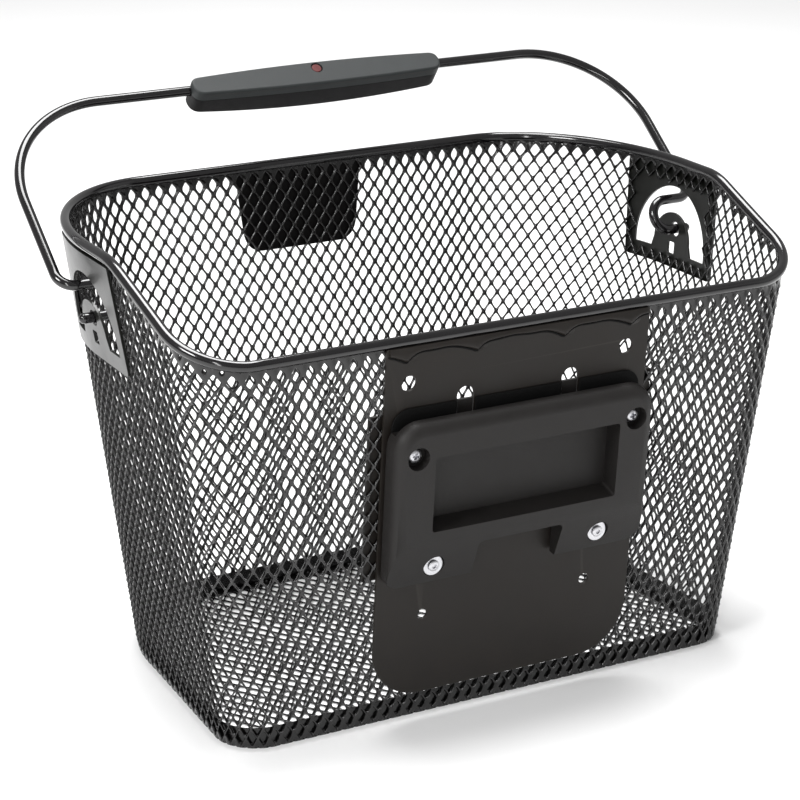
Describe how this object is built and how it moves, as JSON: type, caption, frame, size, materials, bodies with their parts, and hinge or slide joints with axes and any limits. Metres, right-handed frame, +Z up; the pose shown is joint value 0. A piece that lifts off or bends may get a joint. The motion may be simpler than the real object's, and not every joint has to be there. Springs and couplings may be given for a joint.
{
  "type": "handlebar basket",
  "caption": "Open-top handlebar basket of black expanded steel mesh with a steel rim, a folding bail handle and a quick-release adapter plate.",
  "frame": {"origin": "middle of the bounding box at the height of the floor's underside", "axes": "+Z up, +Y away from the rider so that the mounting plate is on the -Y side, +X to the right seen from the mounting plate's side, left and right halves mirrored about X = 0"},
  "size_m": [0.3824, 0.2445, 0.2964],
  "materials": {
    "gloss_paint": "glossy black stove enamel on steel wire and sheet",
    "mesh_paint": "semi-gloss black coating on expanded steel mesh",
    "plate_paint": "satin charcoal coating on flat sheet steel",
    "pad_rubber": "matt black rubber sheet",
    "adapter_plastic": "finely grained dark grey moulded plastic",
    "zinc": "bright zinc plating",
    "grip_plastic": "matt anthracite moulded plastic",
    "red_plastic": "red plastic plug"
  },
  "bodies": {
    "basket": {"rim_ring": "gloss_paint", "wall_mesh": "mesh_paint", "floor_mesh": "mesh_paint", "floor_band": "mesh_paint", "mounting_plate": "plate_paint", "counter_plate": "plate_paint", "rubber_pad": "pad_rubber", "adapter_plate": "adapter_plastic", "weld_bead_1": "plate_paint", "weld_bead_2": "plate_paint", "weld_bead_3": "plate_paint", "weld_bead_4": "plate_paint", "upper_screw_left": "zinc", "lower_screw_left": "zinc", "lower_washer_left": "zinc", "upper_nut_left": "zinc", "lower_nut_left": "zinc", "upper_screw_right": "zinc", "lower_screw_right": "zinc", "lower_washer_right": "zinc", "upper_nut_right": "zinc", "lower_nut_right": "zinc", "left_bracket": "gloss_paint", "right_bracket": "gloss_paint", "front_badge_plate": "gloss_paint"},
    "bail": {"bail_wire": "gloss_paint", "grip_rear_shell": "grip_plastic", "grip_front_shell": "grip_plastic", "grip_dot": "red_plastic"}
  },
  "joints": [
    {"name": "bail_hinge", "type": "hinge", "parent": "basket", "child": "bail", "pos_m": [0, 0.01057, 0.2035], "axis": [-1, 0, 0], "range_deg": [-126, 42]}
  ]
}
